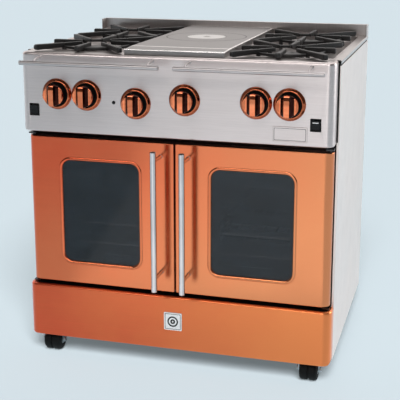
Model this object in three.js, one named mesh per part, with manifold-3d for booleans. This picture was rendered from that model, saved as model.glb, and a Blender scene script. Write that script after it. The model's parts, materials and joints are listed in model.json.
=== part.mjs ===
// Freestanding 36 inch class gas range: French top plate and four open burners over an oven with
// two side-hinged copper doors, a copper kick panel and four swivel casters.
// Millimetres, +Z up, the front faces -Y. Inside the body group, y = 0 is the control panel's face.
import * as THREE from "three";
import { mergeVertices } from "three/addons/utils/BufferGeometryUtils.js";
import Module from "manifold-3d";

const wasm = await Module();
wasm.setup();

// Overall size.
const WIDTH = 911;
const HALF = WIDTH / 2;
const DEPTH = 708;
const RIM_Z = 918;
const GUARD_Z = 954;
const SHEET = 2;
const GAP = 0.3;

// Body panels.
const CORNER_R = 28;
const SIDE_FRONT_Y = 62;
const SIDE_BACK_Y = DEPTH - SHEET;
const SIDE_TOP_Z = 903;
const SIDE_FLANGE = 7;
const KICK = { front: 9.5, bottom: 59, top: 220, cornerR: 13 };
const PANEL_BOTTOM_Z = 690.6;
const PANEL_TOP_Z = RIM_Z - SHEET - GAP;

// Cooktop.
const WELL = { inner: 150, outer: 430, front: 80, back: 668, floor: 896, cornerR: 20 };
const CENTRE_HOLE = { halfX: 126, front: 95, back: 650 };
const PLATE = { halfX: 144, front: 24, back: 688, top: 936, holeR: 60, ledgeR: 52, lidY: 367 };
const LID_THICKNESS = 8;
const BURNER_X = 289;
const BURNER_YS = [183, 506];
const GRATE = { halfX: 133, halfY: 155, top: 936, bottom: 922, tipR: 46, ringR: 105, footR: 104 };

// Oven and doors.
const DOOR = { front: 24.5, back: 60, bottom: 230, top: 670.5, inner: 2, outer: 447, edgeR: 25 };
const WINDOW = { inner: 107, outer: 342, bottom: 297, top: 604, cornerR: 26 };
const HINGE = { x: 436, y: 42.5, pinR: 4, boreR: 4.4, plateZ: [222, 676], plateT: 4 };
const FRAME = { front: 66, back: 70, bottom: 222, top: 689 };
const CAVITY = { halfX: 400, bottom: 258, top: 645, back: 657, wall: 3 };
const PLUG = { inner: 20, outer: 398, bottom: 262, top: 640, back: 75 };
const RACK_ZS = [338, 399, 546];
const RACK = { halfX: 392, front: 90, back: 640, bar: 8, wire: 5, wires: 9 };

// Handles and rails.
const HANDLE = { x: 41, y: -42, r: 8.7, bottom: 252, top: 660, postR: 7, postZs: [289, 632] };
const RAIL = { y: -50, z: 894, r: 6.5, inner: 20, outer: 429, bracketXs: [53, 387], bracketR: 5 };

// Controls: each burner or oven valve's x and z on the panel.
const KNOBS = [
  [-339, 802],
  [-250, 802],
  [-104, 785],
  [38, 801],
  [238, 803],
  [329, 803],
];
const BEZEL_R = 43;
const KNOB_R = 30;
const KNOB_REACH = 46;
const STEM_R = 4;
const MANIFOLD = { y: 62, z: 800, r: 11, halfX: 418 };
const SUPPLY_X = 428;
const ROCKERS = [
  { name: "oven_light_rocker", x: -410.5, z: 754.8 },
  { name: "oven_fan_rocker", x: 400.5, z: 751.5 },
];
const ROCKER = { halfX: 11.5, pivotY: 5, tilt: 5 };
const ROCKER_HOLE = { halfX: 13, halfZ: 15.8 };
const LAMP = { x: -168.5, z: 785, r: 5 };
const NAMEPLATE = { x: [284, 379], z: [701, 743] };
const BADGE = { x: -2, z: 147, size: 54 };

// Casters.
const CASTER = { x: 393, ys: [68, 640], trail: 18, wheelR: 32, halfTread: 26, stemR: 7 };
const BASE = { bottom: 84, top: 96, halfX: 440, front: 16, back: 704, bar: 84, sideBar: 68 };

const finish = (color, roughness, metalness) => () =>
  new THREE.MeshStandardMaterial({ color, roughness, metalness });
const stainless = finish(0xb9b6b6, 0.35, 1);
const sideSteel = finish(0xdcdad6, 0.45, 0.8);
const copper = finish(0xcc6a3c, 0.35, 1);
const polishedCopper = finish(0xd9865c, 0.12, 1);
const handleSteel = finish(0xd0ccd4, 0.25, 1);
const castIron = finish(0x1f1d1d, 0.75, 0.4);
const greyPlate = finish(0xaaa7a6, 0.45, 0.9);
const blackEnamel = finish(0x0e0e10, 0.3, 0.1);
const darkGlass = finish(0x2b3238, 0.08, 0);
const blackPlastic = finish(0x101012, 0.45, 0);
const rubber = finish(0x0b0b0b, 0.7, 0);
const zinc = finish(0xa9b0b4, 0.35, 1);
const galvanized = finish(0x9a9da0, 0.5, 0.9);
const white = finish(0xf1f1ef, 0.3, 0);

// A closed geometry as a solid that can be joined and cut.
function solid(geometry) {
  const bare = geometry.clone();
  bare.deleteAttribute("normal");
  bare.deleteAttribute("uv");
  const merged = mergeVertices(bare, 1e-4);
  const vertProperties = new Float32Array(merged.attributes.position.array);
  const triVerts = new Uint32Array(merged.index.array);
  return new wasm.Manifold(new wasm.Mesh({ numProp: 3, vertProperties, triVerts }));
}

// A solid back as a geometry.
function surface(shape) {
  const { vertProperties, triVerts } = shape.getMesh();
  const geometry = new THREE.BufferGeometry();
  geometry.setAttribute("position", new THREE.BufferAttribute(vertProperties, 3));
  geometry.setIndex(new THREE.BufferAttribute(triVerts, 1));
  geometry.computeVertexNormals();
  return geometry;
}

const join = (...shapes) => shapes.reduce((whole, shape) => whole.add(shape));
const cut = (whole, ...shapes) => shapes.reduce((left, shape) => left.subtract(shape), whole);

function box(xa, xb, ya, yb, za, zb) {
  const geometry = new THREE.BoxGeometry(Math.abs(xb - xa), Math.abs(yb - ya), Math.abs(zb - za));
  return solid(geometry.translate((xa + xb) / 2, (ya + yb) / 2, (za + zb) / 2));
}

// Frames that lay a shape's (u, v) plane across one axis: x takes (y, z), y takes (x, z).
const X = new THREE.Vector3(1, 0, 0);
const Y = new THREE.Vector3(0, 1, 0);
const Z = new THREE.Vector3(0, 0, 1);
const ACROSS = {
  x: new THREE.Matrix4().makeBasis(Y, Z, X),
  y: new THREE.Matrix4().makeBasis(X, Z, Y.clone().negate()),
  z: new THREE.Matrix4(),
};

// A shape extruded along one axis between two places on it.
function prism(axis, shape, from, to, curveSegments = 2) {
  const depth = Math.abs(to - from);
  const geometry = new THREE.ExtrudeGeometry(shape, { depth, bevelEnabled: false, curveSegments });
  geometry.applyMatrix4(ACROSS[axis]);
  const start = axis === "y" ? Math.max(from, to) : Math.min(from, to);
  const offset = { x: [start, 0, 0], y: [0, start, 0], z: [0, 0, start] }[axis];
  return solid(geometry.translate(...offset));
}

// A round bar along one axis; centre gives its other two coordinates in x, y, z order.
function rod(axis, [a, b], radius, from, to, sides = 12) {
  const turn = Math.PI / sides;
  const geometry = new THREE.CylinderGeometry(radius, radius, Math.abs(to - from), sides);
  if (sides % 4) geometry.rotateY(turn);
  const middle = (from + to) / 2;
  if (axis === "x") geometry.rotateZ(Math.PI / 2).translate(middle, a, b);
  if (axis === "y") geometry.translate(a, middle, b);
  if (axis === "z") geometry.rotateX(Math.PI / 2).translate(a, b, middle);
  return solid(geometry);
}

// A profile of [radius, height] points turned about +Z.
function turned(profile, sides) {
  const points = profile.map(([r, h]) => new THREE.Vector2(r, h));
  if (THREE.ShapeUtils.area(points) < 0) points.reverse();
  return new THREE.LatheGeometry(points, sides).rotateX(Math.PI / 2);
}

// A rectangle whose corners have radii in the order low-low, high-low, high-high, low-high.
function roundedRect(ua, ub, va, vb, radii) {
  const [u0, u1] = [Math.min(ua, ub), Math.max(ua, ub)];
  const [v0, v1] = [Math.min(va, vb), Math.max(va, vb)];
  const [r0, r1, r2, r3] = Array.isArray(radii) ? radii : [radii, radii, radii, radii];
  const shape = new THREE.Shape();
  const corner = (u, v, r, start) => {
    if (r > 0) shape.absarc(u, v, r, start, start + Math.PI / 2, false);
    else shape.lineTo(u, v);
  };
  shape.moveTo(u0 + r0, v0);
  shape.lineTo(u1 - r1, v0);
  corner(u1 - r1, v0 + r1, r1, -Math.PI / 2);
  shape.lineTo(u1, v1 - r2);
  corner(u1 - r2, v1 - r2, r2, 0);
  shape.lineTo(u0 + r3, v1);
  corner(u0 + r3, v1 - r3, r3, Math.PI / 2);
  shape.lineTo(u0, v0 + r0);
  corner(u0 + r0, v0 + r0, r0, Math.PI);
  return shape;
}

const range = new THREE.Group();
const body = new THREE.Group();
body.position.y = -(DEPTH + RAIL.y - RAIL.r) / 2;
range.add(body);

// Adds one named piece; shape is a solid or a closed geometry.
function piece(name, shape, material, parent = body) {
  const geometry = shape.isBufferGeometry ? shape : surface(shape);
  const mesh = new THREE.Mesh(geometry, material());
  mesh.name = name;
  parent.add(mesh);
  return mesh;
}

// The plan of a front panel that wraps round both front corners.
const wrapPlan = (front, inset, back) =>
  roundedRect(
    -HALF + inset,
    HALF - inset,
    front + inset,
    back,
    [CORNER_R - inset, CORNER_R - inset, 0, 0],
  );

// A side sheet with a flange turned in at its front and back edges.
function sidePanel(side) {
  const plan = new THREE.Shape();
  const [outer, sheet, flange] = [HALF, HALF - SHEET, HALF - SIDE_FLANGE].map((x) => side * x);
  const [front, back] = [SIDE_FRONT_Y, SIDE_BACK_Y];
  plan.moveTo(outer, front);
  plan.lineTo(outer, back);
  plan.lineTo(flange, back);
  plan.lineTo(flange, back - SHEET);
  plan.lineTo(sheet, back - SHEET);
  plan.lineTo(sheet, front + SHEET);
  plan.lineTo(flange, front + SHEET);
  plan.lineTo(flange, front);
  plan.closePath();
  return prism("z", plan, KICK.bottom, SIDE_TOP_Z - GAP);
}

// The back sheet, with the gas inlet's hole and a collar for the supply lead.
function backPanel() {
  const lead = { x: -380, z: 140, collarR: 13, holeR: 6, collar: 6 };
  const sheet = box(-HALF, HALF, SIDE_BACK_Y + GAP, DEPTH, BASE.bottom, SIDE_TOP_Z - GAP);
  const collar = rod("y", [lead.x, lead.z], lead.collarR, SIDE_BACK_Y - lead.collar, DEPTH - 0.5);
  const through = (x, z, r) => rod("y", [x, z], r, SIDE_BACK_Y - 20, DEPTH + 20);
  return cut(join(sheet, collar), through(lead.x, lead.z, lead.holeR),
    through(SUPPLY_X, MANIFOLD.z, 14));
}

function kickPanel() {
  const outer = prism("z", wrapPlan(KICK.front, 0, SIDE_FRONT_Y - GAP), KICK.bottom, KICK.top);
  const hollow = prism("z", wrapPlan(KICK.front, SHEET, SIDE_FRONT_Y + 1), KICK.bottom - 1,
    KICK.top - SHEET);
  const elevation = roundedRect(-HALF, HALF, KICK.bottom, KICK.top + 1,
    [KICK.cornerR, KICK.cornerR, 0, 0]);
  const rounded = prism("y", elevation, 0, SIDE_FRONT_Y);
  return cut(outer, hollow).intersect(rounded);
}

// The control panel wraps round the corners and turns back at its lower edge.
function controlPanel() {
  const outer = prism("z", wrapPlan(0, 0, SIDE_FRONT_Y - GAP), PANEL_BOTTOM_Z, PANEL_TOP_Z);
  const hollow = prism("z", wrapPlan(0, SHEET, SIDE_FRONT_Y + 1), PANEL_BOTTOM_Z + SHEET,
    PANEL_TOP_Z + 1);
  const stemHoles = KNOBS.map(([x, z]) => rod("y", [x, z], STEM_R + 3, -5, 10, 8));
  const rockerHoles = ROCKERS.map(({ x, z }) =>
    box(x - ROCKER_HOLE.halfX, x + ROCKER_HOLE.halfX, -5, 10, z - ROCKER_HOLE.halfZ,
      z + ROCKER_HOLE.halfZ));
  return cut(outer, hollow, ...stemHoles, ...rockerHoles);
}

// The cooktop: one sheet with a burner well each side, an opening under the French top, side
// flanges, and a cross channel that carries the French top's burner.
function cooktopFrame() {
  const top = prism("z", wrapPlan(0, 0, SIDE_BACK_Y), RIM_Z - SHEET, RIM_Z);
  const centre = box(-CENTRE_HOLE.halfX, CENTRE_HOLE.halfX, CENTRE_HOLE.front, CENTRE_HOLE.back,
    WELL.floor - 20, RIM_Z + 5);
  const wellPlan = (side, inset) =>
    roundedRect(side * (WELL.inner - inset), side * (WELL.outer + inset), WELL.front - inset,
      WELL.back + inset, WELL.cornerR + inset);
  let frame = cut(top, centre);
  for (const side of [-1, 1]) {
    const pan = prism("z", wellPlan(side, SHEET), WELL.floor - SHEET, RIM_Z);
    const hollow = prism("z", wellPlan(side, 0), WELL.floor, RIM_Z + 5);
    const flange = box(side * (HALF - SHEET), side * HALF, SIDE_FRONT_Y, SIDE_BACK_Y, SIDE_TOP_Z,
      RIM_Z - 1);
    const throats = BURNER_YS.map((y) =>
      rod("z", [side * BURNER_X, y], 30, WELL.floor - 10, WELL.floor + 10, 12));
    frame = cut(join(frame, pan, flange), hollow, ...throats);
  }
  const span = WELL.inner - SHEET / 2;
  const channel = box(-span, span, PLATE.lidY - 30, PLATE.lidY + 30, WELL.floor - SHEET,
    WELL.floor + SHEET);
  return frame.add(channel);
}

// An inverted channel along the back with a return at each end.
function backGuard() {
  const bottom = RIM_Z + GAP;
  const channelFront = DEPTH - 16;
  const channel = cut(
    box(-HALF, HALF, channelFront, DEPTH, bottom, GUARD_Z),
    box(-HALF + SHEET, HALF - SHEET, channelFront + SHEET, DEPTH - SHEET, bottom - 1,
      GUARD_Z - SHEET),
  );
  const wings = [-1, 1].map((side) =>
    box(side * (HALF - SHEET), side * HALF, DEPTH - 52, DEPTH - 1, bottom, GUARD_Z));
  return join(channel, ...wings);
}

// The French top: a heavy plate with a stepped hole for its lift-out centre.
function frenchTopPlate() {
  const lidZ = PLATE.top - LID_THICKNESS - GAP;
  const plan = roundedRect(-PLATE.halfX, PLATE.halfX, PLATE.front, PLATE.back, 5);
  const slab = prism("z", plan, RIM_Z + GAP, PLATE.top, 1);
  const at = [0, PLATE.lidY];
  return cut(slab, rod("z", at, PLATE.holeR, lidZ, PLATE.top + 5, 32),
    rod("z", at, PLATE.ledgeR, RIM_Z - 5, lidZ + 1, 32));
}

// A round burner whose flange rests on the well floor and whose throat hangs through it.
const BURNER_PROFILE = [
  [0, -18],
  [22, -18],
  [24, GAP],
  [46, GAP],
  [46, 12],
  [38, 20],
  [0, 22],
];

// A wedge-shaped grate bar from its tip near the centre to its blunt outer end at (dx, dy).
function grateBar(x, y, dx, dy) {
  const reach = Math.hypot(dx, dy);
  const [tip, end] = [3, 7];
  const plan = new THREE.Shape();
  plan.moveTo(GRATE.tipR, -tip);
  plan.lineTo(reach - end, -end);
  plan.absarc(reach - end, 0, end, -Math.PI / 2, Math.PI / 2, false);
  plan.lineTo(GRATE.tipR, tip);
  plan.closePath();
  const depth = GRATE.top - GRATE.bottom;
  const geometry = new THREE.ExtrudeGeometry(plan, { depth, bevelEnabled: false, curveSegments: 2 });
  geometry.rotateZ(Math.atan2(dy, dx));
  return solid(geometry.translate(x, y, GRATE.bottom));
}

// Eight bars tied by a ring, on four feet that stand on the well floor.
function grate(x, y) {
  const [hx, hy] = [GRATE.halfX, GRATE.halfY];
  const ends = [[hx, 0], [hx, hy], [0, hy], [-hx, hy], [-hx, 0], [-hx, -hy], [0, -hy], [hx, -hy]];
  const bars = ends.map(([dx, dy]) => grateBar(x, y, dx, dy));
  const [inner, outer] = [GRATE.ringR - 5, GRATE.ringR + 5];
  const [low, high] = [RIM_Z + 2, RIM_Z + 9];
  const ring = solid(turned([[inner, low], [outer, low], [outer, high], [inner, high], [inner, low]],
    12).translate(x, y, 0));
  const feet = [[1, 1], [-1, 1], [-1, -1], [1, -1]].map(([sx, sy]) => {
    const slope = Math.atan2(hy, hx);
    const fx = x + sx * GRATE.footR * Math.cos(slope);
    const fy = y + sy * GRATE.footR * Math.sin(slope);
    return box(fx - 6, fx + 6, fy - 6, fy + 6, WELL.floor + GAP, high);
  });
  return join(ring, ...bars, ...feet);
}

// The oven: a front frame, a five-sided liner, rack ledges, and a hinge plate over and under
// each door.
function ovenBox() {
  const { halfX, bottom, top, back, wall } = CAVITY;
  const frame = box(-HALF + SHEET + 0.5, HALF - SHEET - 0.5, FRAME.front, FRAME.back, FRAME.bottom,
    FRAME.top);
  const shell = box(-halfX - wall, halfX + wall, FRAME.front, back + wall, bottom - wall, top + wall);
  const hollow = box(-halfX, halfX, FRAME.front - 5, back, bottom, top);
  let oven = cut(join(frame, shell), hollow);
  for (const side of [-1, 1]) {
    for (const z of RACK_ZS) {
      const rest = z - RACK.bar / 2 - GAP;
      oven = oven.add(box(side * (halfX - 20), side * (halfX + 1), RACK.front, back + 1, rest - 3, rest));
    }
    for (const z of HINGE.plateZ) {
      const plate = box(side * (HINGE.x - 10), side * (HINGE.x + 11), 32, FRAME.front + 1, z,
        z + HINGE.plateT);
      const bore = rod("z", [side * HINGE.x, HINGE.y], HINGE.boreR, z - 5, z + 10, 16);
      oven = oven.add(plate).subtract(bore);
    }
  }
  return oven;
}

// A wire rack: a square frame and wires from front to back.
function ovenRack(z) {
  const { halfX, front, back, bar, wire, wires } = RACK;
  const [low, high] = [z - bar / 2, z + bar / 2];
  const across = [front, back - bar].map((y) => box(-halfX, halfX, y, y + bar, low, high));
  const along = [-1, 1].map((side) => box(side * (halfX - bar), side * halfX, front, back, low, high));
  const grid = Array.from({ length: wires }, (_, i) => {
    const x = -halfX + ((i + 1) * 2 * halfX) / (wires + 1);
    return box(x - wire / 2, x + wire / 2, front + 1, back - 1, high - wire, high - 0.5);
  });
  return join(...across, ...along, ...grid);
}

// A tube burner on the oven floor with two cross tubes.
function ovenBurner() {
  const z = 275;
  const feed = rod("y", [0, z], 11, 110, CAVITY.back - GAP, 8);
  const arms = [150, 560].map((y) => rod("x", [y, z], 9, -260, 260, 8));
  return join(feed, ...arms);
}

// The gas pipe behind the panel: a valve and stem for each knob, and the supply pipe to the back.
function gasManifold() {
  const { y, z, r, halfX } = MANIFOLD;
  const header = rod("x", [y, z], r, -halfX, SUPPLY_X, 10);
  const supply = rod("y", [SUPPLY_X, z], r, y - r, SIDE_BACK_Y - 2, 10);
  const valves = KNOBS.map(([x, valveZ]) =>
    box(x - 12, x + 12, 18, y, Math.min(valveZ, z) - 13, Math.max(valveZ, z) + 13));
  const stems = KNOBS.map(([x, stemZ]) => rod("y", [x, stemZ], STEM_R, -18, 20, 8));
  return join(header, supply, ...valves, ...stems);
}

// A towel rail along half of the panel, on two brackets that curve down from the rim.
function towelRail(side) {
  const { y, z, r, inner, outer, bracketXs, bracketR } = RAIL;
  const bar = rod("x", [y, z], r, side * inner, side * outer, 12);
  const brackets = bracketXs.map((bx) => {
    const x = side * bx;
    const curve = new THREE.QuadraticBezierCurve3(
      new THREE.Vector3(x, -GAP, RIM_Z - 12),
      new THREE.Vector3(x, y + 2, RIM_Z - 12),
      new THREE.Vector3(x, y, z),
    );
    const section = new THREE.Shape();
    section.absarc(0, 0, bracketR, 0, 2 * Math.PI, false);
    return solid(new THREE.ExtrudeGeometry(section, { steps: 5, extrudePath: curve, curveSegments: 4 }));
  });
  return join(bar, ...brackets);
}

// A door's copper skin: a tray open at the back, with the window and the two hinge pins.
function doorSkin(side) {
  const { front, bottom, top, inner, outer, edgeR } = DOOR;
  const back = DOOR.back - SHEET;
  const plan = (inset, depth) => {
    const radii = side > 0 ? [3 - inset, edgeR - inset, 0, 0] : [edgeR - inset, 3 - inset, 0, 0];
    return roundedRect(side * (inner + inset), side * (outer - inset), front + inset, depth, radii);
  };
  const tray = cut(prism("z", plan(0, back), bottom, top, 3),
    prism("z", plan(SHEET, back + 5), bottom + SHEET, top - SHEET, 3));
  const window = roundedRect(side * WINDOW.inner, side * WINDOW.outer, WINDOW.bottom, WINDOW.top,
    WINDOW.cornerR);
  const pin = (from, to) => rod("z", [side * HINGE.x, HINGE.y], HINGE.pinR, from, to, 16);
  return join(
    cut(tray, prism("y", window, front - 5, front + 10, 3)),
    pin(HINGE.plateZ[0], bottom + 1),
    pin(top - 1, HINGE.plateZ[1] + HINGE.plateT),
  );
}

// The door's inner wall: a back plate and the plug that fills the oven mouth, with the window.
function doorLiner(side) {
  const plate = box(side * DOOR.inner, side * (DOOR.outer - 2), DOOR.back - SHEET + GAP, DOOR.back,
    DOOR.bottom, DOOR.top);
  const plug = box(side * PLUG.inner, side * PLUG.outer, DOOR.back - 1, PLUG.back, PLUG.bottom, PLUG.top);
  const margin = 14;
  const sight = roundedRect(side * (WINDOW.inner + margin), side * (WINDOW.outer - margin),
    WINDOW.bottom + margin, WINDOW.top - margin, 12);
  return cut(join(plate, plug), prism("y", sight, DOOR.back - 10, PLUG.back + 10));
}

function doorGlass(side) {
  const margin = 9;
  const front = DOOR.front + SHEET + GAP;
  return box(side * (WINDOW.inner - margin), side * (WINDOW.outer + margin), front, front + 5,
    WINDOW.bottom - margin, WINDOW.top + margin);
}

function doorHandle(side) {
  const bar = rod("z", [side * HANDLE.x, HANDLE.y], HANDLE.r, HANDLE.bottom, HANDLE.top, 12);
  const posts = HANDLE.postZs.map((z) =>
    rod("y", [side * HANDLE.x, z], HANDLE.postR, HANDLE.y, DOOR.front - GAP, 8));
  return join(bar, ...posts);
}

// Profiles that face the front: [radius, reach in front of the panel].
const BEZEL_PROFILE = [
  [9, GAP],
  [BEZEL_R, GAP],
  [BEZEL_R - 1, 7],
  [33.5, 9.5],
  [31.5, 3],
  [9, 3],
  [9, GAP],
];
const KNOB_PROFILE = [
  [0, 20],
  [STEM_R + 0.4, 20],
  [STEM_R + 0.4, 4.5],
  [KNOB_R - 1, 4.5],
  [KNOB_R, 20],
  [KNOB_R - 3, 27],
  [0, 29],
];
const facingFront = (profile, sides) => turned(profile, sides).rotateX(Math.PI / 2);

// The knob's cap with an upright grip bar across it.
function knob() {
  const cap = solid(facingFront(KNOB_PROFILE, 14));
  const grip = prism("y", roundedRect(-7, 7, -28, 28, 6), -26, -KNOB_REACH, 1);
  return cap.add(grip);
}

// A rocker with its two halves at a slight angle, tilted to its off side.
function rocker() {
  const profile = new THREE.Shape();
  profile.moveTo(-4 - ROCKER.pivotY, -13);
  profile.lineTo(3, -10);
  profile.lineTo(3, 10);
  profile.lineTo(-4 - ROCKER.pivotY, 13);
  profile.lineTo(-2.4 - ROCKER.pivotY, 0);
  profile.closePath();
  return prism("x", profile, -ROCKER.halfX, ROCKER.halfX);
}

// A fork with its stem up through the base frame and its axle across the wheel.
function casterFork() {
  const { trail, wheelR, halfTread, stemR } = CASTER;
  const [legIn, legOut] = [halfTread + 1.2, halfTread + 4.5];
  const crownZ = wheelR + 36;
  const stem = rod("z", [0, 0], stemR, crownZ, BASE.top - 1, 8);
  const race = rod("z", [0, 0], 20, crownZ + 2, BASE.bottom - 2, 10);
  const crown = box(-legOut, legOut, -trail - 14, 16, crownZ, crownZ + 4);
  const legs = [-1, 1].map((side) => {
    const outline = new THREE.Shape();
    outline.moveTo(16, crownZ + 4);
    outline.lineTo(-trail - 14, crownZ + 4);
    outline.lineTo(-trail - 10, wheelR - 4);
    outline.lineTo(-trail, wheelR - 9);
    outline.lineTo(-trail + 9, wheelR - 4);
    outline.closePath();
    return prism("x", outline, side * legIn, side * legOut);
  });
  const axle = rod("x", [-trail, wheelR], 4, -legOut - 1, legOut + 1, 8);
  const nuts = [-1, 1].map((side) =>
    rod("x", [-trail, wheelR], 7, side * (legOut - 1), side * (legOut + 5), 6));
  return join(stem, race, crown, ...legs, axle, ...nuts);
}

// A twin-tread wheel: flat facet down, a groove round the middle, a bore for the axle.
function casterWheel() {
  const sides = 16;
  const { wheelR, halfTread } = CASTER;
  const rim = wheelR / Math.cos(Math.PI / sides);
  const profile = [
    [4.6, -halfTread],
    [rim - 6, -halfTread],
    [rim, -halfTread + 7],
    [rim, -3],
    [rim - 4, 0],
    [rim, 3],
    [rim, halfTread - 7],
    [rim - 6, halfTread],
    [4.6, halfTread],
    [4.6, -halfTread],
  ];
  return turned(profile, sides).rotateZ(Math.PI / sides).rotateY(Math.PI / 2);
}

// The base frame: a plate ring with a cross bar and a bore for each caster's stem.
function baseFrame() {
  const { bottom, top, halfX, front, back, bar, sideBar } = BASE;
  const plate = box(-halfX, halfX, front, back, bottom, top);
  const middle = (front + back) / 2;
  const windows = [[front + bar, middle - 15], [middle + 15, back - bar]].map(([y0, y1]) =>
    box(-halfX + sideBar, halfX - sideBar, y0, y1, bottom - 5, top + 5));
  const bores = CASTER.ys.flatMap((y) =>
    [-1, 1].map((side) => rod("z", [side * CASTER.x, y], CASTER.stemR + 0.6, bottom - 5, top + 5, 12)));
  return cut(plate, ...windows, ...bores);
}

piece("left_side_panel", sidePanel(-1), sideSteel);
piece("right_side_panel", sidePanel(1), sideSteel);
piece("back_panel", backPanel(), galvanized);
piece("base_frame", baseFrame(), galvanized);
piece("kick_panel", kickPanel(), copper);
piece("control_panel", controlPanel(), stainless);
piece("cooktop_frame", cooktopFrame(), stainless);
piece("back_guard", backGuard(), stainless);
piece("french_top_plate", frenchTopPlate(), greyPlate);
piece("oven_box", ovenBox(), blackEnamel);
piece("oven_burner", ovenBurner(), galvanized);
piece("gas_manifold", gasManifold(), galvanized);
RACK_ZS.forEach((z, i) => piece(`oven_rack_${i + 1}`, ovenRack(z), handleSteel));

const lid = turned([[0, 0], [PLATE.holeR - 0.6, 0], [PLATE.holeR - 0.6, LID_THICKNESS],
  [0, LID_THICKNESS]], 32);
piece("french_top_lid", lid, handleSteel).position.set(0, PLATE.lidY, PLATE.top - LID_THICKNESS);
const wideBurner = BURNER_PROFILE.map(([r, h]) => [r * 1.5, Math.max(h, GAP) * 0.6]);
piece("french_top_burner", turned(wideBurner, 16), castIron)
  .position.set(0, PLATE.lidY, WELL.floor + SHEET + GAP);

let station = 0;
for (const side of [-1, 1]) {
  for (const y of BURNER_YS) {
    station += 1;
    const head = piece(`burner_${station}`, turned(BURNER_PROFILE, 14), castIron);
    head.position.set(side * BURNER_X, y, WELL.floor);
    piece(`grate_${station}`, grate(side * BURNER_X, y), castIron);
  }
}

for (const [name, side] of [["left", -1], ["right", 1]]) {
  piece(`${name}_towel_rail`, towelRail(side), handleSteel);
  piece(`${name}_door_skin`, doorSkin(side), copper);
  piece(`${name}_door_liner`, doorLiner(side), blackEnamel);
  piece(`${name}_door_glass`, doorGlass(side), darkGlass);
  piece(`${name}_door_handle`, doorHandle(side), handleSteel);
}

KNOBS.forEach(([x, z], i) => {
  piece(`knob_bezel_${i + 1}`, facingFront(BEZEL_PROFILE, 14), polishedCopper).position.set(x, 0, z);
  piece(`knob_${i + 1}`, knob(), polishedCopper).position.set(x, 0, z);
});

for (const { name, x, z } of ROCKERS) {
  const paddle = piece(name, rocker(), blackPlastic);
  paddle.position.set(x, ROCKER.pivotY, z);
  paddle.rotation.x = THREE.MathUtils.degToRad(ROCKER.tilt);
}

const lamp = facingFront([[0, GAP], [LAMP.r, GAP], [LAMP.r - 1.5, 3], [0, 3.6]], 12);
piece("indicator_lamp", lamp, blackPlastic).position.set(LAMP.x, 0, LAMP.z);
piece("nameplate", box(...NAMEPLATE.x, -GAP - 1.5, -GAP, ...NAMEPLATE.z), stainless);
const badgeHalf = BADGE.size / 2;
piece("badge", box(BADGE.x - badgeHalf, BADGE.x + badgeHalf, KICK.front - GAP - 3,
  KICK.front - GAP, BADGE.z - badgeHalf, BADGE.z + badgeHalf), white);

let corner = 0;
for (const y of CASTER.ys) {
  for (const side of [-1, 1]) {
    corner += 1;
    const caster = new THREE.Group();
    caster.position.set(side * CASTER.x, y, 0);
    body.add(caster);
    piece(`caster_fork_${corner}`, casterFork(), zinc, caster);
    piece(`caster_wheel_${corner}`, casterWheel(), rubber, caster)
      .position.set(0, -CASTER.trail, CASTER.wheelR);
  }
}

export default range;
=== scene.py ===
"""Looks of the freestanding gas range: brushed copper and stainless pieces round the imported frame.

Lengths are in millimetres until a mesh is made, except in the materials and on the stage, where
they are in metres. Places come from the frame's boxes.
"""
import json
from math import atan2, cos, hypot, pi, radians, sin, sqrt
from types import SimpleNamespace

import bmesh
import bpy
from mathutils import Matrix, Vector
from mathutils.geometry import tessellate_polygon

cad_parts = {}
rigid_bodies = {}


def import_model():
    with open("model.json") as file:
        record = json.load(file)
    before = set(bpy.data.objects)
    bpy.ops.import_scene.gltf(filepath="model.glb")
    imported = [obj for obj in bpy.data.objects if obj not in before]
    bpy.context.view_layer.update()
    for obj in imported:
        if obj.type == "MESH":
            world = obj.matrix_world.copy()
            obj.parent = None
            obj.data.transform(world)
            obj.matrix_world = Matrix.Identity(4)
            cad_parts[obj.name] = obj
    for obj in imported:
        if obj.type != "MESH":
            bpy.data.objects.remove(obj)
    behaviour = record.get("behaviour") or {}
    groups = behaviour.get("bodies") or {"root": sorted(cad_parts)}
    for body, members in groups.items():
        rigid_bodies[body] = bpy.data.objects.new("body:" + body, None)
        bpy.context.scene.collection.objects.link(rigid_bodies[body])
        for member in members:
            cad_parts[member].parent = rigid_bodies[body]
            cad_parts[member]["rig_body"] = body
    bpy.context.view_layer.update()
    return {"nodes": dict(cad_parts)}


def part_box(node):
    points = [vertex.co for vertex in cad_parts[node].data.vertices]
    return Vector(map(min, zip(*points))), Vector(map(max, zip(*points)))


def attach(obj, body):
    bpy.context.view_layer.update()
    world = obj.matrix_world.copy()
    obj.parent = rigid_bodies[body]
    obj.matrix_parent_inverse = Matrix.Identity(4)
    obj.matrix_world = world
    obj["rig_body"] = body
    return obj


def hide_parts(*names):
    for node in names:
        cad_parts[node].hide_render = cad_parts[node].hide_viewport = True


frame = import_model()

MM = 0.001
BODY = {name: node["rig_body"] for name, node in frame["nodes"].items()}
SIDES = (("left", -1), ("right", 1))


def extent(node):
    """A CAD node's box at rest, in millimetres."""
    low, high = (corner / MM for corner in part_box(node))
    return SimpleNamespace(x0=low.x, x1=high.x, y0=low.y, y1=high.y, z0=low.z, z1=high.z,
                           mid=(low + high) / 2, size=high - low)

# Outlines and shapes


def arc(cu, cv, radius, start, end, steps):
    """Points of an arc, from start to end in degrees."""
    turns = [radians(start + (end - start) * i / steps) for i in range(steps + 1)]
    return [(cu + radius * cos(a), cv + radius * sin(a)) for a in turns]


def circle(cu, cv, radius, steps):
    return arc(cu, cv, radius, 0, 360 - 360 / steps, steps - 1)


def rounded_rect(u0, u1, v0, v1, radius, steps):
    """A counter-clockwise rectangle with round corners."""
    r = radius
    return (arc(u1 - r, v0 + r, r, -90, 0, steps) + arc(u1 - r, v1 - r, r, 0, 90, steps)
            + arc(u0 + r, v1 - r, r, 90, 180, steps) + arc(u0 + r, v0 + r, r, 180, 270, steps))


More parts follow.
